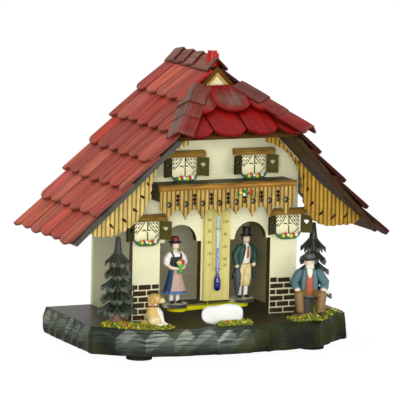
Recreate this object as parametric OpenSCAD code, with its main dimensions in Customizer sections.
// Weather house: a carved chalet on a base, with two figures on a beam that hangs from a gut string.
// The front faces -Y, +Z is up, and the origin is the middle of the underside of the feet.

/* [Base] */
// Width of the carved base plate
base_w = 170; // [156:1:186]
// Depth of the carved base plate
base_d = 102.5; // [100:0.5:116]
// Thickness of the base plate
base_t = 16; // [10:0.5:20]
// Width of the cut across each front corner
corner_cut_w = 26; // [16:1:32]
// Depth of the cut across each front corner
corner_cut_d = 27; // [18:1:32]
// How far the front edge bows forward in the middle
front_bow = 6; // [2:0.5:10]
// Depth of the chisel hollows round the edge
carve_depth = 2.6; // [0.5:0.1:4]
// Diameter of each foot
foot_d = 15.5; // [10:0.5:20]
// Height of each foot
foot_h = 3; // [1:0.5:8]
// Foot centre in from the side of the base
foot_inset_x = 28.5; // [24:0.5:36]
// Foot centre in from the front and the back of the base
foot_inset_y = 20.5; // [18:0.5:30]

/* [House] */
// Width of the house across its side walls
house_w = 108; // [104:1:116]
// Depth of the house from front face to back face
house_d = 63; // [58:1:66]
// Depth of the base left open in front of the house
forecourt = 38.5; // [36:0.5:44]
// Thickness of the front wall
front_wall_t = 5; // [3:0.5:6]
// Thickness of each side wall
side_wall_t = 4; // [3:0.5:6]
// Thickness of the back panel
back_panel_t = 3; // [2:0.5:5]
// Diameter of the nails in the back panel
nail_d = 1; // [0.8:0.1:1.4]
// Diameter of the nail heads
nail_head_d = 2.6; // [2:0.1:3.6]
// Length of the nails
nail_l = 9; // [6:0.5:14]

/* [Doorways] */
// Middle of each doorway out from the centre line
door_centre = 22.9; // [22:0.1:24.5]
// Width of each doorway
door_w = 26.8; // [25.5:0.1:28]
// Height of the doorway's square shoulders
door_shoulder_h = 46.5; // [45:0.5:50]
// Radius of the round head of the doorway
door_arch_r = 10.4; // [9.5:0.1:12]
// Height of the gap under the pier between the doorways
pier_foot_h = 10.3; // [9.5:0.1:12]

/* [Roof] */
// Slope of the two main roof faces
roof_pitch = 45; // [43:0.5:47]
// Height of the roof boards' underside at the ridge, above the floor
ridge_h = 147.5; // [142:0.5:150]
// Run of each roof board from the ridge to its eave
roof_run = 97.5; // [94:0.5:102]
// Thickness of the roof boards
roof_board_t = 2.5; // [2:0.5:5]
// Overhang of the roof in front of the wall, at the eave
verge_eave = 16; // [15.5:0.5:22]
// Overhang of the roof in front of the wall, at the hip
verge_hip = 29; // [27:0.5:34]
// Overhang of the roof behind the back panel
roof_back = 2.5; // [0:0.5:6]
// Height of the hip's lower edge above the floor
hip_h = 111.5; // [108:0.5:114.5]
// Height of the small gable above the hip
gablet_h = 14; // [12.5:0.5:15.5]
// Setback of the small gable behind the front wall's face
gablet_setback = 2; // [1:0.5:3]
// Thickness of the small gable's panel
gablet_panel_t = 2; // [1.5:0.5:3]
// Width of the trim under the small gable's roof edge
gablet_trim_w = 1.6; // [1:0.1:2.4]
// Thickness of the barge boards along the verges
barge_t = 2; // [1.5:0.1:3]
// Depth of the barge boards below the roof boards
barge_drop = 0.3; // [0.1:0.1:3]

/* [Shingles] */
// Width of the main shingles
shingle_w = 15.2; // [12:0.1:20]
// Thickness of the shingles
shingle_t = 2; // [1:0.1:2.4]
// Thickness of the ridge caps and the hip caps
cap_t = 1.2; // [0.8:0.1:1.6]
// Rows of shingles on each main slope
shingle_rows = 6; // [5:1:8]
// Lap of each row under the row above
shingle_lap = 8; // [3:0.5:9]
// Lap of the hip's lower row under its upper row
hip_lap = 2.5; // [2:0.5:4]
// Overhang of the lowest row past the eave
shingle_overhang = 6.5; // [4:0.5:9]
// Gap between neighbouring shingles
shingle_gap = 0.4; // [0.2:0.1:0.8]
// Width of the hip's shingles
hip_shingle_w = 22; // [18:0.5:26]
// Width of each flank of the ridge caps
ridge_cap_flank = 10; // [8:0.5:17]
// Length of the front ridge cap, which the knob stands in
front_cap_l = 21; // [20:0.5:24]
// Number of ridge caps behind the front one
ridge_caps_n = 3; // [2:1:4]
// Width of each flank of the hip caps
hip_cap_flank = 9.5; // [7:0.5:11]
// Lowest hip cap longer than the others
hip_cap_over = 2; // [0:0.5:8]
// Number of caps along each hip
hip_caps_n = 3; // [2:1:4]

/* [Balcony and eave panels] */
// Width of the balcony
balcony_w = 87.4; // [80:0.2:92]
// Depth of the balcony in front of the wall
balcony_d = 15; // [12:0.5:16]
// Height of the balcony's top above the floor
balcony_top = 83.4; // [80:0.2:84]
// Thickness of the balcony block
balcony_t = 9.9; // [7:0.1:12]
// Height of the moulded rail along the balcony's edge
rail_h = 3.4; // [2.5:0.1:4.5]
// Thickness of the rail and the carved boards
board_t = 1.8; // [1.2:0.1:2.4]
// Number of carved boards that hang from the rail
board_n = 8; // [6:2:10]
// Hanging length of the boards at their tips
board_drop = 18; // [15:0.5:20]
// Hanging length of the middle boards over the thermometer
middle_drop = 15.5; // [13:0.5:18]
// Number of grooves down each carved board
board_ribs = 4; // [2:1:5]
// Depth of the grooves in the carved boards
rib_depth = 0.5; // [0.2:0.1:0.7]
// Distance of the eave panels in front of the wall
eave_panel_y = 13; // [12:0.5:15]
// Thickness of the eave panels
eave_panel_t = 2; // [1.5:0.1:3]
// Radius of the arch that the eave panels make
eave_arch_r = 30; // [28:0.5:32]
// Arch centre out from the centre line
eave_arch_x = 20; // [18:0.5:22]
// Arch centre below the ridge
eave_arch_drop = 69.5; // [67.5:0.5:71.5]
// Radius of each panel's lower sweep
eave_sweep_r = 28.5; // [27:0.5:30]

/* [Windows] */
// Upper windows out from the centre line
upper_window_x = 22.8; // [21.5:0.1:24]
// Top of the upper panes above the floor
upper_window_top = 98; // [97.8:0.1:99]
// Lower windows out from the centre line
lower_window_x = 46.4; // [45.8:0.1:47]
// Top of the lower panes above the floor
lower_window_top = 60.5; // [60:0.1:61]
// Width of the panes
pane_w = 16.4; // [14:0.2:17]
// Height of the panes with their flower boxes
pane_h = 14; // [12:0.2:14.2]
// Thickness of the panes and of the backs behind them
pane_t = 1.1; // [0.8:0.1:1.6]
// Width of the hoods over the windows
hood_w = 26; // [20:0.5:28]
// Height of the hoods
hood_h = 3.6; // [2.5:0.1:4]
// Depth of the hoods
hood_d = 5.5; // [4:0.1:7]
// Width of each shutter
shutter_w = 7.2; // [5:0.1:7.6]
// Height of each shutter
shutter_h = 11; // [9:0.1:11.6]
// Thickness of each shutter
shutter_t = 1.2; // [0.8:0.1:1.6]
// Angle of the shutters out from the wall
shutter_angle = 33; // [25:1:40]
// Height of the flower boxes
flower_box_h = 3.4; // [2.5:0.1:4]
// Depth of the flower boxes
flower_box_d = 2.2; // [1.5:0.1:3]
// Diameter of the blooms
bloom_d = 1.9; // [1.2:0.1:2.2]
// Height of one brick course with its joint
brick_pitch = 3.7; // [3:0.1:4.4]
// Number of brick courses
brick_rows = 6; // [4:1:7]
// Length of one brick
brick_l = 7.7; // [6:0.1:9]
// Thickness of the brick facing
brick_t = 0.5; // [0.3:0.1:0.8]

/* [Thermometer] */
// Width of the thermometer plate
plate_w = 16.5; // [14:0.1:18]
// Top of the thermometer plate above the floor
plate_top = 70; // [64:0.5:72]
// Thickness of the thermometer plate
plate_t = 2.4; // [1.6:0.1:3]
// Diameter of the glass tube
tube_d = 2.2; // [1.8:0.1:2.6]
// Diameter of the glass bulb
bulb_d = 3.8; // [3.2:0.1:4.6]
// Length of the bulb's straight part
bulb_body = 4.2; // [2:0.1:6]
// Length of the taper from the bulb to the tube
bulb_taper = 3.4; // [2:0.1:5]
// Height of the bulb's round end above the plate's lower end
bulb_rise = 8.6; // [6:0.1:12]
// Length of the tube above the bulb's round end
tube_l = 43; // [36:0.5:46]
// Bore of the glass tube
tube_bore = 1; // [0.6:0.1:1.2]
// Length of the coloured column above the bulb's round end
column_l = 24; // [10:0.5:34]
// Wire diameter of the two staples
staple_wire = 0.6; // [0.4:0.1:0.8]

/* [Movement] */
// Distance of the gut string behind the front wall's face
axis_setback = 10; // [9.8:0.1:10.4]
// Turn of the beam as it rests, with the woman a little forward
rest_turn = 7; // [0:0.5:10]
// Distance of each figure from the gut string
figure_r = 23.4; // [23:0.1:24]
// Diameter of the discs under the figures
disc_d = 16; // [14:0.5:16.4]
// Thickness of the discs
disc_t = 2.2; // [1.5:0.1:2.4]
// Thickness of the beam
beam_t = 2.4; // [1.8:0.1:2.8]
// Width of the beam
beam_w = 6; // [4.5:0.1:8]
// Diameter of the beam's round ends
paddle_d = 12.4; // [10:0.1:14]
// Height of the beam's underside above the floor
beam_rise = 3.8; // [3.4:0.1:4]
// Diameter of the wire pin that carries the beam
hanger_d = 1.6; // [1.2:0.1:2]
// Height of the hanger pin's top above the beam
hanger_l = 18; // [12:0.5:24]
// Diameter of the brass sleeve on the gut string
sleeve_d = 2.8; // [2.4:0.1:3.6]
// Length of the brass sleeve
sleeve_l = 6; // [4:0.5:9]
// Diameter of the gut string
gut_d = 0.8; // [0.6:0.1:1]
// Diameter of the knob on the ridge
knob_d = 8; // [7:0.1:8.2]
// Height of the knob's body
knob_h = 7.8; // [7:0.1:10]
// Diameter of the knob's raised crown
knob_crown_d = 5.7; // [5:0.1:6.6]
// Height of the knob's raised crown
knob_crown_h = 1.7; // [1:0.1:2.5]
// Diameter of the peg under the knob
peg_d = 4; // [3.4:0.1:4.6]
// Length of the peg
peg_l = 20; // [17:0.5:26]
// Running clearance round the peg and the gut string
run_clear = 0.05; // [0.02:0.01:0.08]
// Clearance round and under the knob
knob_clear = 0.35; // [0.3:0.05:0.5]

/* [Figures and garden] */
// Height of the woman with her hat
woman_h = 40; // [36:0.5:41]
// Height of the man with his hat
man_h = 43; // [40:0.5:44]
// Height of the sitting man above the grass
sitter_h = 37; // [34:0.5:40]
// Height of the dog above the grass
dog_h = 20; // [17:0.5:23]
// Height of the fir trees
tree_h = 52; // [46:0.5:56]
// Spread of the fir trees' lowest branches
tree_d = 23; // [18:0.5:24]
// Left fir tree out from the centre line
tree_x = 66; // [65:0.5:68]
// Left fir tree in front of the wall
tree_y = 6; // [4:0.5:8]
// Right fir tree out from the right wall
right_tree_gap = 16; // [14:0.5:18]
// Right fir tree behind the front wall's face
right_tree_back = 10; // [6:0.5:16]
// Height of the trunks under the branches
trunk_h = 7; // [5:0.5:10]
// Diameter of the trunks
trunk_d = 4; // [3:0.1:5]
// Thickness of the grass patches
grass_t = 1.2; // [0.8:0.1:2]
// Width of the blank name plate
plaque_w = 28.5; // [24:0.5:32]
// Height of the blank name plate
plaque_h = 11.6; // [9:0.1:13]
// Thickness of the blank name plate
plaque_t = 3; // [2:0.1:4]
// Front face of the name plate in front of the wall
plaque_y = 26.5; // [26:0.5:29]

/* [Hidden] */
$fn = 48;

// Longer than any piece, for cutting away everything on one side of a plane
far = 400;
// Play that keeps glued neighbours from biting into each other
glue = 0.05;
floor_z = foot_h + base_t;
front_y = -base_d / 2 + forecourt;
inner_back = house_d - back_panel_t;
roof_end = house_d + roof_back;

// Roof geometry in the house frame
roof_tan = tan(roof_pitch);
slope_l = roof_run / cos(roof_pitch);
wall_eave_z = ridge_h - house_w / 2 * roof_tan;
hip_top_z = ridge_h - gablet_h;
hip_tan = (hip_top_z - hip_h) / (verge_hip + gablet_setback);
hip_pitch = atan(hip_tan);
hip_corner_x = (ridge_h - hip_h) / roof_tan;
hip_top_x = (ridge_h - hip_top_z) / roof_tan;
hip_l = (verge_hip + gablet_setback) / cos(hip_pitch);
hip_at_wall = hip_h + verge_hip * hip_tan - glue;
// Each shingle's head lies on the board and its tail on the row below
ridge_cover = 11;
exposure = (slope_l + shingle_overhang - ridge_cover) / shingle_rows;
shingle_tilt = atan((shingle_t + glue) / exposure);
shingle_rise = (exposure + shingle_lap) * tan(shingle_tilt) + shingle_t;
hip_rows = 2;
hip_tail = 2;
hip_exposure = (hip_l + hip_tail) / hip_rows;
hip_head_trim = 1;
hip_tilt = atan((shingle_t + glue) / (hip_exposure - hip_lap - hip_head_trim));
hip_rise = (hip_exposure + hip_lap) * tan(hip_tilt) + shingle_t;
// Caps lie over the shingles' highest edges
cap_rest = roof_board_t + max(shingle_rise, hip_rise) + glue;
ridge_cap_rest = roof_board_t + shingle_t
    + max(0, ridge_cap_flank - ridge_cover + shingle_lap) * tan(shingle_tilt) + glue;
cap_step = cap_t + glue;
cap_lap = 3;

// Movement heights in the house frame
beam_top = beam_rise + beam_t;
disc_top = beam_top + disc_t;
sleeve_z = beam_top + hanger_l - sleeve_l / 2;
knob_sink = 0.8;
knob_seat = ridge_h + roof_board_t / cos(roof_pitch) - knob_sink;
knob_z = knob_seat + run_clear;
peg_z = knob_z - peg_l;
peg_grip = 4;
tube_y = -plate_t - bulb_d / 2 - glue;
bulb_z = pier_foot_h + bulb_rise;

wood_red = "#9c3f36";
wood_dark = "#4a4a42";
wood_brown = "#6b5427";
ochre = "#c9a24a";
cream = "#e6e6cc";
leaf = "#3a7a3a";

function lerp(a, b, t) = a + (b - a) * t;
function unit(v) = v / norm(v);
// A steady scatter between 0 and 1 for hand-cut edges
function scatter(i) = let(v = sin(i * 127.1 + 31.7) * 437.585) v - floor(v);
function roof_under(x) = ridge_h - abs(x) * roof_tan;
function arc(cx, cy, r, from, to, n) =
    [for (i = [0 : n]) let(a = lerp(from, to, i / n)) [cx + r * cos(a), cy + r * sin(a)]];

module at_house() translate([0, front_y, floor_z]) children();
// Stands a flat outline up, front face at y and t thick towards the back
module upright(y, t) translate([0, y + t, 0]) rotate([90, 0, 0]) linear_extrude(t) children();
module on_right_slope() translate([0, 0, ridge_h]) rotate([0, roof_pitch, 0]) children();
module on_hip() translate([0, -verge_hip, hip_h]) rotate([hip_pitch, 0, 0]) children();
module above_hip(y_end) intersection() {
    on_hip() translate([-far / 2, -far / 2, 0]) cube(far);
    translate([-far / 2, y_end - far, -far / 2]) cube(far);
}
module on_axis() translate([0, axis_setback, 0]) children();
module both_sides() {
    children();
    mirror([1, 0, 0]) children();
}

// Base and feet

// Half of the base outline, from the back corner round to the middle of the front
function base_half() = concat(
    [for (i = [0 : 7]) [base_w / 2, lerp(base_d / 2, -base_d / 2 + corner_cut_d, i / 8)]],
    [for (i = [0 : 5]) let(t = i / 6) [
        base_w / 2 - corner_cut_w * t * (0.55 + 0.45 * t),
        -base_d / 2 + lerp(corner_cut_d, front_bow, t * (1.4 - 0.4 * t))]],
    [for (i = [0 : 8]) let(x = (base_w / 2 - corner_cut_w) * (1 - i / 8)) [
        x, -base_d / 2 + front_bow * pow(x / (base_w / 2 - corner_cut_w), 2)]]
);
function base_outline() = let(h = base_half(), n = len(h))
    concat(h, [for (i = [n - 2 : -1 : 0]) [-h[i][0], h[i][1]]]);
// One ring of the carved edge: every second point is cut back by the chisel
function base_ring(z, inset, seed) = let(o = base_outline()) [
    for (i = [0 : len(o) - 1])
        let(carve = (i % 2) * carve_depth * scatter(i + seed), p = o[i])
        [p[0], p[1], z] - (inset + carve) * concat(unit(p), [0])
];
// Each ring of the edge: its share of the base's thickness, how far it is drawn in, and its scatter
base_rings = [[0, 2.2, 3], [0.3, 0, 11], [0.7, 0.4, 29], [1, 1.6, 47]];
module base_plate() color("#3c423a") {
    rings = [for (r = base_rings) base_ring(foot_h + base_t * r[0], r[1], r[2])];
    n = len(rings[0]);
    sides = [for (k = [0 : len(rings) - 2], i = [0 : n - 1]) let(j = (i + 1) % n)
        each [[k * n + i, k * n + j, (k + 1) * n + j], [k * n + i, (k + 1) * n + j, (k + 1) * n + i]]];
    top = [for (i = [0 : n - 1]) (len(rings) - 1) * n + i];
    bottom = [for (i = [n - 1 : -1 : 0]) i];
    polyhedron([for (r = rings) each r], concat(sides, [top, bottom]));
}
module feet() color("#2e2a22")
    for (x = [-1, 1], y = [-1, 1])
        translate([x * (base_w / 2 - foot_inset_x), y * (base_d / 2 - foot_inset_y), 0])
            cylinder(d = foot_d, h = foot_h);

// Walls

module doorway() {
    translate([door_centre - door_w / 2, -1]) square([door_w, door_shoulder_h + 1]);
    translate([door_centre, door_shoulder_h]) circle(door_arch_r);
}
module front_wall() color(cream) at_house() upright(0, front_wall_t) {
    top = hip_at_wall;
    top_x = (ridge_h - top) / roof_tan - glue;
    difference() {
        polygon([[-house_w / 2, 0], [house_w / 2, 0], [house_w / 2, wall_eave_z - glue],
            [top_x, top], [-top_x, top], [-house_w / 2, wall_eave_z - glue]]);
        both_sides() doorway();
        translate([-door_centre, -1]) square([2 * door_centre, pier_foot_h + 1]);
    }
}
// Nails in the back panel, as shares of the side walls' height
nail_rows = [0.1, 0.5, 0.9];
nail_head_t = 0.5;
module nail_spots() for (x = [-1, 1], t = nail_rows)
    translate([x * (house_w - side_wall_t) / 2, house_d, t * wall_eave_z]) rotate([90, 0, 0]) children();
module side_wall() difference() {
    translate([0, inner_back, 0]) rotate([90, 0, 0]) linear_extrude(inner_back - front_wall_t) polygon([
        [house_w / 2 - side_wall_t, 0], [house_w / 2, 0], [house_w / 2, wall_eave_z - glue],
        [house_w / 2 - side_wall_t, wall_eave_z + side_wall_t * roof_tan - glue]]);
    nail_spots() cylinder(d = nail_d + 2 * glue, h = nail_l + glue);
}
module right_wall() color(cream) at_house() side_wall();
module left_wall() color(cream) at_house() mirror([1, 0, 0]) side_wall();
module back_panel() color(wood_brown) at_house() difference() {
    upright(inner_back, back_panel_t) polygon([[-house_w / 2, 0], [house_w / 2, 0],
        [house_w / 2, wall_eave_z - glue], [0, ridge_h - glue], [-house_w / 2, wall_eave_z - glue]]);
    nail_spots() cylinder(d = nail_d + 2 * glue, h = nail_l);
}
module back_nails() color("silver") at_house() nail_spots() {
    cylinder(d = nail_d, h = nail_l);
    translate([0, 0, -nail_head_t]) cylinder(d = nail_head_d, h = nail_head_t);
}

// Roof boards

module knob_bore() on_axis() {
    cylinder(d = peg_d + 2 * run_clear, h = far);
    translate([0, 0, knob_seat]) cylinder(d = knob_d + 2 * knob_clear, h = far);
}
module roof_board() difference() {
    on_right_slope() linear_extrude(roof_board_t) polygon([
        [-roof_board_t * roof_tan, roof_end], [slope_l, roof_end], [slope_l, -verge_eave],
        [hip_corner_x / cos(roof_pitch), -verge_hip], [-roof_board_t * roof_tan, -verge_hip]]);
    translate([-far, -far / 2, -far / 2]) cube(far);
    above_hip(gablet_setback);
    knob_bore();
}
module right_roof_board() color(wood_dark) at_house() roof_board();
module left_roof_board() color(wood_dark) at_house() mirror([1, 0, 0]) roof_board();
module hip_board() color(wood_dark) at_house() difference() {
    on_hip() translate([-hip_corner_x - roof_board_t * 2, 0, glue])
        cube([2 * hip_corner_x + roof_board_t * 4, hip_l + roof_board_t * 4, roof_board_t - glue]);
    translate([-far / 2, gablet_setback - glue, 0]) cube(far);
    both_sides() on_right_slope() translate([-far / 2, -far / 2, roof_board_t]) cube(far);
}
gablet_trim_t = 1;
ridge_block_h = 13;
block_y = gablet_setback + gablet_trim_t + gablet_panel_t + glue;
module ridge_block() color(wood_brown) at_house() difference() {
    upright(block_y, 2 * (axis_setback - block_y))
        polygon([[0, ridge_h - glue * 2], [ridge_block_h / roof_tan, ridge_h - ridge_block_h - glue * 2],
            [-ridge_block_h / roof_tan, ridge_h - ridge_block_h - glue * 2]]);
    on_axis() cylinder(d = peg_d + 2 * run_clear, h = far);
}
module bargeboard() difference() {
    s_h = hip_corner_x / cos(roof_pitch);
    on_right_slope() translate([0, 0, -barge_drop]) linear_extrude(roof_board_t + barge_drop) polygon([
        [slope_l, -verge_eave - glue], [slope_l, -verge_eave - barge_t],
        [s_h, -verge_hip - barge_t], [s_h - barge_drop, -verge_hip - barge_t],
        [s_h - barge_drop, -verge_hip - glue], [s_h, -verge_hip - glue]]);
    above_hip(gablet_setback);
    translate([-far, -far / 2, -far / 2]) cube(far);
}
module right_bargeboard() color(wood_dark) at_house() bargeboard();
module left_bargeboard() color(wood_dark) at_house() mirror([1, 0, 0]) bargeboard();

// Shingles and caps

// A shingle outline, head at the origin and round tail along +x
module shingle_2d(l, w) intersection() {
    translate([0, -w / 2]) square([l, w]);
    union() {
        r = 0.62 * w;
        translate([0, -w / 2]) square([l - r, w]);
        translate([l - r, 0]) circle(r);
    }
}
module slope_field() {
    s_h = hip_corner_x / cos(roof_pitch);
    s_g = hip_top_x / cos(roof_pitch);
    tip = slope_l + shingle_overhang + 1;
    polygon([[0, roof_end], [tip, roof_end], [tip, -verge_eave - barge_t],
        [s_h, -verge_hip - barge_t], [s_g, gablet_setback], [0, gablet_setback]]);
}
module slope_shingles() on_right_slope() for (row = [0 : shingle_rows - 1]) {
    l = exposure + shingle_lap;
    head = slope_l + shingle_overhang - row * exposure - l;
    front = -verge_hip - barge_t;
    count = ceil((roof_end - front) / shingle_w) + 1;
    for (i = [0 : count - 1]) {
        y = roof_end - (i + (row % 2) / 2) * shingle_w;
        translate([head, 0, roof_board_t]) rotate([0, -shingle_tilt, 0]) linear_extrude(shingle_t)
            intersection() {
                translate([0, y]) shingle_2d(l, shingle_w - shingle_gap);
                translate([-head, 0]) slope_field();
            }
    }
}
module right_shingles() color(wood_red) at_house() slope_shingles();
module left_shingles() color(wood_red) at_house() mirror([1, 0, 0]) slope_shingles();
module hip_field() polygon([[-hip_corner_x, -hip_tail - 1], [hip_corner_x, -hip_tail - 1],
    [hip_corner_x, 0], [hip_top_x, hip_l - 0.5], [-hip_top_x, hip_l - 0.5], [-hip_corner_x, 0]]);
module hip_shingles() color(wood_red) at_house() on_hip() for (row = [0 : hip_rows - 1]) {
    l = hip_exposure + (row == hip_rows - 1 ? -hip_head_trim : hip_lap);
    head = -hip_tail + row * hip_exposure + l;
    count = 2 * ceil(hip_corner_x / hip_shingle_w);
    for (i = [-count / 2 : count / 2]) {
        x = (i + (row % 2 == 0 ? 0.5 : 0)) * hip_shingle_w;
        translate([0, head, roof_board_t]) rotate([-hip_tilt, 0, 0]) linear_extrude(shingle_t)
            intersection() {
                translate([x, 0]) rotate(-90) shingle_2d(l, hip_shingle_w - shingle_gap);
                translate([0, -head]) hip_field();
            }
    }
}
// A folded cap: two flanks that meet in a ridge
module ridge_cap_2d() {
    drop = ridge_cap_flank * sin(roof_pitch);
    x = ridge_cap_flank * cos(roof_pitch);
    t = cap_t / cos(roof_pitch);
    polygon([[0, t], [x + t / 2, t / 2 - drop], [x, -drop], [0, 0], [-x, -drop], [-x - t / 2, t / 2 - drop]]);
}
module ridge_cap(tail, l, tilt) translate([0, tail + l, ridge_h + ridge_cap_rest / cos(roof_pitch)])
    rotate([-tilt, 0, 0]) upright(-l, l) ridge_cap_2d();
module ridge_caps() color("#8c5a50") at_house() {
    step = (roof_end - gablet_setback - front_cap_l) / ridge_caps_n;
    tilt = atan(cap_step / cos(roof_pitch) / (step - cap_lap));
    // The front cap lies flat under the knob
    difference() {
        ridge_cap(gablet_setback, front_cap_l + cap_lap, 0);
        knob_bore();
    }
    for (i = [0 : ridge_caps_n - 1]) {
        lap = i == ridge_caps_n - 1 ? 0 : cap_lap;
        ridge_cap(gablet_setback + front_cap_l + i * step, step + lap, tilt);
    }
}
// Places of the hip line, its roof normals and the directions out over both faces
hip_foot = [hip_corner_x, -verge_hip, hip_h];
hip_head = [hip_top_x, gablet_setback, hip_top_z];
hip_dir = unit(hip_foot - hip_head);
slope_n = [sin(roof_pitch), 0, cos(roof_pitch)];
hip_n = [0, -sin(hip_pitch), cos(hip_pitch)];
hip_up = unit(slope_n + hip_n);
over_slope = unit(cross(slope_n, hip_dir));
over_hip = unit(cross(hip_dir, hip_n));
function cap_line(q, rest) = q + hip_up * rest / (hip_up * slope_n);
// Six corners of a cap's cross-section at one place on the hip line
function cap_section(q, rest, flank) = let(
    a = cap_line(q, rest + cap_t),
    b = cap_line(q, rest),
    wide = flank + cap_t / 2)
    [a, a + over_hip * wide, b + over_hip * flank, b, b + over_slope * flank, a + over_slope * wide];
module hip_cap(from, l, rise) {
    head = hip_head + hip_dir * from;
    rings = concat(
        cap_section(head, cap_rest, hip_cap_flank),
        cap_section(head + hip_dir * l, cap_rest + rise * l, hip_cap_flank));
    sides = [for (i = [0 : 5]) let(j = (i + 1) % 6) each [[i, j + 6, j], [i, i + 6, j + 6]]];
    ends = [[0, 1, 2], [0, 2, 3], [0, 3, 4], [0, 4, 5], [8, 7, 6], [9, 8, 6], [10, 9, 6], [11, 10, 6]];
    polyhedron(rings, concat(sides, ends));
}
module hip_caps() {
    // The caps start below the small gable and end as far past the hip's foot
    shift = 3;
    step = norm(hip_foot - hip_head) / hip_caps_n;
    for (i = [0 : hip_caps_n - 1]) {
        lap = i == 0 ? 0 : cap_lap;
        over = i == hip_caps_n - 1 ? hip_cap_over : 0;
        hip_cap(shift + i * step - lap, step + lap + over, cap_step / (step - cap_lap));
    }
}
module right_hip_caps() color("#8c5a50") at_house() hip_caps();
module left_hip_caps() color("#8c5a50") at_house() mirror([1, 0, 0]) hip_caps();

// Small gable over the hip

module gablet_panel() color("#f2efc4") at_house() {
    x = hip_top_x - glue;
    upright(gablet_setback + gablet_trim_t, gablet_panel_t)
        polygon([[0, ridge_h - glue * 2], [x, hip_top_z - glue], [-x, hip_top_z - glue]]);
}
module gablet_trim() color(ochre) at_house() {
    t = gablet_trim_w / cos(roof_pitch);
    foot = hip_top_z + (roof_board_t + shingle_t) / cos(hip_pitch);
    x = (ridge_h - foot) / roof_tan;
    upright(gablet_setback + glue, gablet_trim_t - 2 * glue) polygon([
        [0, ridge_h - glue * 2], [x - glue * 2, foot], [x - t - glue, foot], [0, ridge_h - t - glue],
        [-x + t + glue, foot], [-x + glue * 2, foot]]);
}

// Carved panels under the eaves

eave_sweep_rise = 5.5;
eave_foot = 10;
eave_crown = 2;
scallop_r = 1.6;
slit = [3.3, 0.8];
module eave_outline() {
    arch_z = ridge_h - eave_arch_drop;
    sweep_x = eave_arch_x + eave_arch_r + eave_sweep_r;
    sweep_z = arch_z + eave_sweep_rise;
    foot_x = sweep_x + eave_foot;
    top_z = arch_z + eave_arch_r + eave_crown;
    arch = arc(eave_arch_x, arch_z, eave_arch_r, 80, -6, 18);
    sweep = arc(sweep_x, sweep_z, eave_sweep_r, 197, 285, 18);
    top_x = (ridge_h - top_z) / roof_tan;
    difference() {
        union() {
            polygon(concat(arch, sweep,
                [[foot_x, roof_under(foot_x) - glue], [top_x - glue, top_z], [arch[0][0], top_z]]));
            for (i = [2 : 3 : 17]) translate(arch[i]) circle(scallop_r);
            for (i = [1 : 3 : 14]) translate(sweep[i]) circle(scallop_r);
        }
        for (i = [4 : 3 : 15]) translate(arch[i] * 1.06) rotate(-i * 5) square(slit, center = true);
        for (i = [4 : 3 : 13]) translate(lerp([sweep_x, sweep_z], sweep[i], 0.8)) rotate(200 + i * 5)
            square(slit, center = true);
    }
}
module eave_panel() upright(-eave_panel_y - eave_panel_t, eave_panel_t) eave_outline();
module right_eave_panel() color(ochre) at_house() eave_panel();
module left_eave_panel() color(ochre) at_house() mirror([1, 0, 0]) eave_panel();

// Balcony

module balcony_block() color("#3d2f1c") at_house()
    translate([-balcony_w / 2, -balcony_d, balcony_top - balcony_t])
        cube([balcony_w, balcony_d - glue, balcony_t]);
rail_end = 1;
module balcony_rail() color("#8a6420") at_house() {
    r = rail_h / 2;
    translate([-balcony_w / 2 - rail_end, -balcony_d - glue - board_t, balcony_top - r]) rotate([90, 0, 90])
        linear_extrude(balcony_w + 2 * rail_end) union() {
            translate([0, -r]) square([board_t, rail_h]);
            circle(r);
        }
}
// Round arches part the pointed tails, at these shares of a board's width, and holes are pierced through
board_shoulder = board_drop * 0.62;
board_bends = [0, 0.1, 0.2, 0.3, 0.4, 0.45, 0.5, 0.55, 0.6, 0.7, 0.8, 0.9];
board_diamond = 2.1;
board_dot = 1.3;
board_dot_pitch = 2.4;
function board_points(x, w, drop) = [for (t = board_bends)
    let(e = 1 - abs(1 - 2 * t)) [x + w * t, -lerp(board_shoulder, drop, 1 - sqrt(1 - e * e))]];
module balcony_boards() color("#c0935a") at_house() {
    w = balcony_w / board_n;
    y = -balcony_d - glue - board_t;
    top = balcony_top - rail_h - glue;
    difference() {
        translate([-balcony_w / 2, 0, top]) upright(y, board_t) difference() {
            polygon(concat([[balcony_w, 0], [0, 0]], [for (i = [0 : board_n - 1])
                each board_points(i * w, w, abs(i - (board_n - 1) / 2) < 1 ? middle_drop : board_drop)],
                [[balcony_w, -board_shoulder]]));
            for (i = [0 : board_n - 1]) translate([(i + 0.5) * w, -board_drop * 0.45]) rotate(45)
                square(board_diamond, center = true);
            for (i = [1 : board_n - 1], k = [1 : 3]) translate([i * w, -(k + 0.3) * board_dot_pitch])
                circle(d = board_dot);
        }
        for (i = [0 : board_n * board_ribs - 1])
            translate([(i + 0.5) * w / board_ribs - balcony_w / 2, y, top - far / 2]) rotate(45)
                cube([rib_depth * sqrt(2), rib_depth * sqrt(2), far], center = true);
    }
}
posy_x = 11;
posy_pitch = 2.1;
posy_drop = 2.4;
module balcony_posy() color("#c62a20") at_house() for (i = [-2 : 2])
    translate([posy_x + i * posy_pitch, -balcony_d - 2 * glue - board_t,
        balcony_top - rail_h - posy_drop - (i % 2 == 0 ? 1 : 0)]) half_bloom(bloom_d);

// Windows

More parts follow.
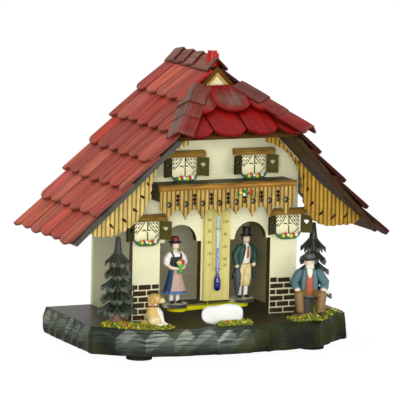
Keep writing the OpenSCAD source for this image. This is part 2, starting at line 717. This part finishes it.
window_places = [
    [-lower_window_x, lower_window_top], [-upper_window_x, upper_window_top],
    [upper_window_x, upper_window_top], [lower_window_x, lower_window_top]];
module at_windows() at_house() for (p = window_places) translate([p[0], 0, p[1]]) children();
corner_cut = 2.6;
module pane_outline() {
    x = pane_w / 2;
    polygon([[-x, 0], [x, 0], [x, -pane_h + corner_cut], [x - corner_cut, -pane_h],
        [-x + corner_cut, -pane_h], [-x, -pane_h + corner_cut]]);
}
module window_backs() color("#2b2416") at_windows() upright(-pane_t, pane_t - glue) pane_outline();
module window_panes() color("#f2efc4") at_windows() upright(-2 * pane_t, pane_t - glue) difference() {
    pane_outline();
    light_h = pane_h - flower_box_h - 1.6;
    for (k = [-1, 1]) {
        translate([k * 0.9 - 0.25, -light_h]) square([0.5, light_h - 1]);
        for (i = [0 : 2]) translate([k * (2.6 + i * 1.9), -1.6 - i * 0.5]) rotate(k * (18 + 14 * i))
            square([0.8, 2.2 + i * 0.4], center = true);
        translate([k * pane_w * 0.28, -light_h * 0.58]) square([pane_w * 0.36, 0.5], center = true);
    }
}
module window_hoods() color("#7d6a3e") at_windows() translate([-hood_w / 2, 0, glue]) rotate([90, 0, 90])
    linear_extrude(hood_w) polygon([[-glue, 0], [-hood_d, 0], [-hood_d, hood_h * 0.6], [-hood_d + 1, hood_h],
        [-glue, hood_h]]);
module heart() {
    translate([-0.62, 0.62]) circle(0.88);
    translate([0.62, 0.62]) circle(0.88);
    rotate(45) square(1.75, center = true);
}
// One shutter, set out from the pane's edge at its opening angle
module shutter() translate([pane_w / 2 + glue, -2 * pane_t, 0]) rotate([0, 0, -shutter_angle])
    upright(-shutter_t, shutter_t) difference() {
        translate([0.5, -shutter_h - 0.3]) square([shutter_w, shutter_h]);
        translate([0.5 + shutter_w / 2, -shutter_h / 2 + 0.6]) heart();
    }
module right_shutters() color("#4a4410") at_windows() shutter();
module left_shutters() color("#4a4410") at_windows() mirror([1, 0, 0]) shutter();
module flower_boxes() color(leaf) at_windows() translate([0, 0, -pane_h])
    upright(-2 * pane_t - flower_box_d, flower_box_d - glue) polygon([
        [-pane_w / 2 + corner_cut, 0], [pane_w / 2 - corner_cut, 0],
        [pane_w / 2 - 0.4, flower_box_h], [-pane_w / 2 + 0.4, flower_box_h]]);
module half_bloom(d) difference() {
    sphere(d = d);
    translate([-far / 2, 0, -far / 2]) cube(far);
}
module window_blooms() color("#c62a20") at_windows() {
    spread = pane_w - 2 * corner_cut - bloom_d;
    for (i = [0 : 4]) translate([lerp(-spread, spread, i / 4) / 2, -2 * pane_t - flower_box_d - glue,
        -pane_h + flower_box_h * (i % 2 == 0 ? 0.4 : 0.62)]) half_bloom(bloom_d);
}
brick_edge = 0.5;
module brick_facing() color("#8c7a58") at_house() both_sides() {
    x0 = door_centre + door_w / 2 + brick_edge;
    x1 = house_w / 2 - brick_edge;
    joint = 0.5;
    for (row = [0 : brick_rows - 1]) {
        start = x0 - (row % 2) * brick_l / 2;
        for (x = [start : brick_l + joint : x1 - 1]) {
            from = max(x, x0);
            to = min(x + brick_l, x1);
            translate([from, -brick_t, row * brick_pitch + joint])
                cube([to - from, brick_t - glue, brick_pitch - joint]);
        }
    }
}

// Thermometer

module thermometer_plate() color("#e0d08a") at_house()
    translate([-plate_w / 2, -plate_t, pier_foot_h]) cube([plate_w, plate_t - glue, plate_top - pier_foot_h]);
module at_tube() at_house() translate([0, tube_y, bulb_z]) children();
bulb_wall = 0.45;
// Half outline of the stem: round bulb, taper, straight neck and a round top
function stem_profile(d, neck, l) = concat(
    arc(0, 0, d / 2, -90, 0, 8), [[d / 2, bulb_body], [neck / 2, bulb_body + bulb_taper]],
    arc(0, l - neck / 2, neck / 2, 0, 90, 6));
module thermometer_tube() color("#e8f0f4") at_tube() rotate_extrude() difference() {
    polygon(stem_profile(bulb_d, tube_d, tube_l));
    polygon(stem_profile(bulb_d - 2 * bulb_wall, tube_bore, tube_l - tube_d));
}
module thermometer_column() color("#1a1aa0") at_tube() rotate_extrude()
    polygon(stem_profile(bulb_d - 2 * bulb_wall - 2 * glue, tube_bore - 2 * glue, column_l));
module thermometer_staples() color("silver") at_tube() for (t = [0.25, 0.82]) translate([0, 0, tube_l * t]) {
    r = (tube_d + staple_wire) / 2 + glue;
    rotate([0, 0, 180]) rotate_extrude(angle = 180) translate([r, 0]) circle(d = staple_wire);
    for (k = [-1, 1]) translate([k * r, 0, 0]) rotate([-90, 0, 0])
        cylinder(d = staple_wire, h = -plate_t - tube_y - glue);
}

// Movement: knob, gut string and the beam with its figures

module at_axis() at_house() on_axis() children();
module regulator_knob() color("#e02a10") at_axis() translate([0, 0, knob_z]) difference() {
    union() {
        cylinder(d = knob_d, h = knob_h);
        translate([0, 0, knob_h]) cylinder(d = knob_crown_d, h = knob_crown_h);
    }
    translate([0, 0, -1]) cylinder(d = peg_d + glue, h = peg_grip + 1);
}
module regulator_peg() color("#caa878") at_axis() translate([0, 0, peg_z]) difference() {
    cylinder(d = peg_d, h = peg_l + peg_grip - glue);
    translate([0, 0, -1]) cylinder(d = gut_d + 2 * run_clear, h = peg_grip + 1);
}
module gut_string() color("#e8dcb0") at_axis() translate([0, 0, sleeve_z + sleeve_l / 2])
    cylinder(d = gut_d, h = peg_z + peg_grip - 0.2 - sleeve_z - sleeve_l / 2);
module at_beam() at_axis() rotate([0, 0, rest_turn]) children();
paddle_r = figure_r - 1.8;
module beam() color("#d8d800") at_beam() translate([0, 0, beam_rise]) difference() {
    linear_extrude(beam_t) union() {
        square([2 * paddle_r, beam_w], center = true);
        for (k = [-1, 1]) translate([k * paddle_r, 0]) circle(d = paddle_d);
    }
    translate([0, 0, -1]) cylinder(d = hanger_d + glue, h = beam_t + 2);
}
module hanger_pin() color("goldenrod") at_beam() translate([0, 0, beam_rise])
    cylinder(d = hanger_d, h = beam_t + hanger_l - sleeve_l / 2 + 2);
module hanger_sleeve() color("goldenrod") at_beam() translate([0, 0, sleeve_z]) difference() {
    cylinder(d = sleeve_d, h = sleeve_l);
    translate([0, 0, -1]) cylinder(d = hanger_d + glue, h = sleeve_l / 2 + 1);
    cylinder(d = gut_d + 2 * run_clear, h = sleeve_l + 1);
}
module figure_disc(side) at_beam() translate([side * figure_r, 0, beam_top]) cylinder(d = disc_d, h = disc_t);
module woman_disc() color("#4a4a44") figure_disc(-1);
module man_disc() color("#4a4a44") figure_disc(1);

// A limb: two round ends and what spans them
module limb(a, b, ra, rb) hull() {
    translate(a) sphere(ra, $fn = 14);
    translate(b) sphere(rb, $fn = 14);
}
// The figures are drawn 100 units tall and scaled to their height
module woman_form() {
    for (k = [-1, 1]) {
        translate([k * 6, -1, 0]) cylinder(r = 3.2, h = 18, $fn = 14);
        limb([k * 6, -1, 2.4], [k * 7.5, -6, 2], 2.4, 2);
        limb([k * 10.5, 0, 77], [k * 16, 2, 60], 4.2, 4);
        limb([k * 16, 2, 60], [k * 3, -11, 56], 4, 3);
    }
    rotate_extrude($fn = 28) polygon([[0, 15.5], [18, 15.5], [19, 18], [15, 32], [9.5, 48], [8, 53], [10, 62],
        [11.5, 72], [8, 80], [3.6, 83], [3.6, 86], [0, 86]]);
    translate([0, -0.5, 88]) sphere(6.6, $fn = 20);
    translate([0, 0.5, 91]) cylinder(r = 10, h = 1.6, $fn = 24);
    translate([0, 0.5, 92]) cylinder(r1 = 7, r2 = 6, h = 8, $fn = 24);
    limb([0, -13, 57], [0, -14, 62], 4.5, 5);
}
module man_form() {
    for (k = [-1, 1]) {
        limb([k * 5, 0, 4], [k * 5, 0, 18], 3, 3.6);
        limb([k * 5, 0, 20], [k * 4.6, 0, 42], 4.6, 6);
        limb([k * 5, -1, 2.4], [k * 7, -7, 2.2], 2.4, 2.1);
        limb([k * 10, 0, 72], [k * 15.5, 1, 54], 4.6, 4.2);
        limb([k * 15.5, 1, 54], [k * 14, -6, 47], 4, 3.2);
    }
    rotate_extrude($fn = 28) polygon([[0, 30], [14, 26], [15, 28], [12, 44], [11, 52], [12.5, 66], [11, 74],
        [4, 78], [3.8, 82], [0, 82]]);
    translate([0, -0.5, 82.5]) sphere(6.4, $fn = 20);
    translate([0, 0.4, 86.5]) cylinder(r = 9.4, h = 1.6, $fn = 24);
    translate([0, 0.4, 87.5]) cylinder(r1 = 5.4, r2 = 6.2, h = 12.5, $fn = 24);
    limb([-15.5, -8, 46], [-15, -9, 36], 1.6, 4.4);
    limb([-15, -9, 36], [-14, -10, 5], 4.4, 1.2);
}
module on_disc(side) at_beam() translate([side * figure_r, 0, disc_top]) children();
module woman() color("#2e4a6a") on_disc(-1) scale(woman_h / 100) woman_form();
module man() color("#2f5048") on_disc(1) scale(man_h / 100) man_form();

// Garden

grass_y = -tree_y;
grass_r = 9.2;
dog_x = 47;
dog_ahead = 16;
dog_y = grass_y - dog_ahead;
sitter_x = 53;
sitter_ahead = 11;
sitter_y = grass_y - sitter_ahead;
sitter_toe = 4;
module mound(x, y, r) translate([x, y, 0]) cylinder(r = r, h = grass_t);
// The left tree stands before the front wall, the right one beside the house
function tree_place(side) = side < 0 ? [-tree_x, grass_y] : [house_w / 2 + right_tree_gap, right_tree_back];
// Grass from a tree to what sits in front of the house
module side_grass(side, seat) {
    tree = tree_place(side);
    for (t = [0, 0.35, 0.65, 1]) mound(lerp(tree[0], seat[0], t), lerp(tree[1], seat[1], t), grass_r);
    mound(seat[0] - side * grass_r * 0.7, seat[1] - grass_r * 0.2, grass_r * 0.75);
}
module left_grass() color("#6a7a30") at_house() side_grass(-1, [-dog_x, dog_y]);
module right_grass() color("#6a7a30") at_house() side_grass(1, [sitter_x, sitter_y - sitter_toe]);
plaque_x = 3.7;
tuft_pitch = 6;
tuft_d = 6.2;
tuft_h = 3;
module middle_grass() color("#6a7a30") at_house() for (i = [-2 : 2])
    translate([i * tuft_pitch - plaque_x, -plaque_y - tuft_d / 2 - glue, 0])
        cylinder(d1 = tuft_d, d2 = tuft_d / 2, h = tuft_h * (1 + (i % 2) / 3));
module plaque_outline() {
    r = plaque_h * 0.38;
    square([plaque_w - 2 * r, plaque_h], center = true);
    square([plaque_w, plaque_h - 2 * r], center = true);
    for (k = [-1, 1], j = [-1, 1]) translate([k * (plaque_w / 2 - r), j * (plaque_h / 2 - r)]) circle(r);
}
module name_plate() color("white") at_house() translate([-plaque_x, 0, plaque_h / 2])
    upright(-plaque_y, plaque_t) plaque_outline();
// A fir: five drooping tiers, each with lobed edges
tree_tiers = 5;
tree_lobes = 9;
tree_segments = 36;
tree_droop = 4.8;
tree_lobe_depth = 0.3;
tier_tip = 2.2;
tier_neck = 0.4;
tree_top_share = 0.7;
function tier_r(k) = tree_d / 2 * lerp(tree_top_share, 1, k / (tree_tiers - 1));
function tier_z(k) = lerp(tree_h * tree_top_share, trunk_h, k / (tree_tiers - 1));
function lobed_ring(r, z, depth, turn) = [for (i = [0 : tree_segments - 1])
    let(a = 360 * i / tree_segments, lobe = (1 + cos(tree_lobes * a + turn)) / 2,
        reach = r * (1 - depth + depth * lobe))
    [reach * cos(a), reach * sin(a), z - tree_droop * depth * lobe]];
module fir() {
    rings = concat(
        [lobed_ring(0.6, tree_h, 0, 0)],
        [for (k = [0 : tree_tiers - 1]) each [
            lobed_ring(tier_r(k), tier_z(k) + tier_tip, tree_lobe_depth, k * 130),
            lobed_ring(tier_r(k) * tier_neck, tier_z(k) + tier_tip + 1, 0, 0)]],
        [lobed_ring(trunk_d / 2, trunk_h, 0, 0)]);
    n = tree_segments;
    last = len(rings) - 1;
    sides = [for (k = [0 : last - 1], i = [0 : n - 1]) let(j = (i + 1) % n)
        each [[k * n + i, k * n + j, (k + 1) * n + j], [k * n + i, (k + 1) * n + j, (k + 1) * n + i]]];
    top = [for (i = [n - 1 : -1 : 0]) i];
    bottom = [for (i = [0 : n - 1]) last * n + i];
    polyhedron([for (r = rings) each r], concat(sides, [top, bottom]));
}
module trunk() rotate_extrude() polygon([[0, 0], [trunk_d, 0], [trunk_d * 0.62, trunk_h * 0.3],
    [trunk_d / 2, trunk_h - glue], [0, trunk_h - glue]]);
module at_tree(side) at_house() translate(concat(tree_place(side), grass_t + glue)) children();
module left_tree() color("#2c3a2c") at_tree(-1) fir();
module right_tree() color("#2c3a2c") at_tree(1) fir();
module left_trunk() color("#8a6a58") at_tree(-1) trunk();
module right_trunk() color("#8a6a58") at_tree(1) trunk();
// The dog sits with its chest towards +X, drawn 100 units tall
module dog_form() {
    limb([-22, 0, 18], [8, 0, 48], 17, 14);
    for (k = [-1, 1]) {
        limb([13, k * 8, 5], [11, k * 8, 44], 5, 8);
        limb([14, k * 8, 4.5], [20, k * 9, 4], 4.5, 4);
        limb([-16, k * 14, 10], [-2, k * 16, 6], 10, 5.5);
    }
    limb([8, 0, 52], [14, 0, 78], 12, 12);
    limb([16, 0, 80], [16, 0, 84], 15, 14);
    limb([24, 0, 78], [38, 0, 75], 8, 6);
    for (k = [-1, 1]) limb([10, k * 13, 90], [8, k * 17, 70], 5, 6);
    limb([-34, 0, 8], [-46, 8, 14], 6, 4);
}
module dog() color("#c8a84a") at_house() translate([-dog_x, dog_y, grass_t]) rotate(-12) scale(dog_h / 100)
    difference() {
        dog_form();
        translate([-far / 2, -far / 2, -far + glue]) cube(far);
    }
seat_h = 10;
seat_d = 12;
seat_back = 3;
module seat_stone() color("#9a968a") at_house() translate([sitter_x, sitter_y + seat_back, grass_t + glue])
    cylinder(d1 = seat_d, d2 = seat_d - 2, h = seat_h - glue);
// The sitting man, hands on his knees, drawn 37 units tall and scaled to his height
module sitter_form() {
    for (k = [-1, 1]) {
        limb([k * 2.6, 2.5, 12.4], [k * 4.2, -6, 12.6], 2.3, 2);
        limb([k * 4.2, -6, 12.2], [k * 4.4, -6.4, 1.8], 1.9, 1.5);
        limb([k * 4.4, -6.2, 1.2], [k * 4.9, -9.2, 1], 1.2, 1);
        limb([k * 5, 3.4, 25], [k * 7.2, 0.5, 18.5], 2, 1.8);
        limb([k * 7.2, 0.5, 18.5], [k * 5, -5, 15.4], 1.7, 1.3);
    }
    translate([0, 3.4, 0]) rotate_extrude($fn = 24) polygon([[0, 10.6], [4.9, 10.6], [5.2, 13], [4.6, 18],
        [5, 23], [4.4, 26.4], [1.6, 28.4], [1.6, 30], [0, 30]]);
    translate([0, 2.8, 31]) sphere(2.9, $fn = 18);
    translate([0, 1.2, 28.6]) sphere(2, $fn = 14);
    translate([0, 3, 33]) cylinder(r = 4.1, h = 0.8, $fn = 24);
    translate([0, 3, 33.4]) cylinder(r1 = 3, r2 = 2.4, h = 3.6, $fn = 24);
}
module sitting_man() color("#4f7480") at_house() translate([sitter_x, sitter_y, grass_t]) difference() {
    scale(sitter_h / 37) sitter_form();
    translate([-far / 2, -far / 2, -far + glue]) cube(far);
    translate([0, seat_back, 0]) cylinder(d = seat_d + 1, h = seat_h + glue);
}

base_plate();
feet();
front_wall();
left_wall();
right_wall();
back_panel();
back_nails();
left_roof_board();
right_roof_board();
hip_board();
ridge_block();
left_bargeboard();
right_bargeboard();
left_shingles();
right_shingles();
hip_shingles();
ridge_caps();
left_hip_caps();
right_hip_caps();
gablet_panel();
gablet_trim();
left_eave_panel();
right_eave_panel();
balcony_block();
balcony_rail();
balcony_boards();
balcony_posy();
window_backs();
window_panes();
window_hoods();
left_shutters();
right_shutters();
flower_boxes();
window_blooms();
brick_facing();
thermometer_plate();
thermometer_tube();
thermometer_column();
thermometer_staples();
name_plate();
left_grass();
middle_grass();
right_grass();
left_tree();
left_trunk();
right_tree();
right_trunk();
dog();
sitting_man();
seat_stone();
regulator_knob();
regulator_peg();
gut_string();
beam();
hanger_pin();
hanger_sleeve();
woman_disc();
man_disc();
woman();
man();
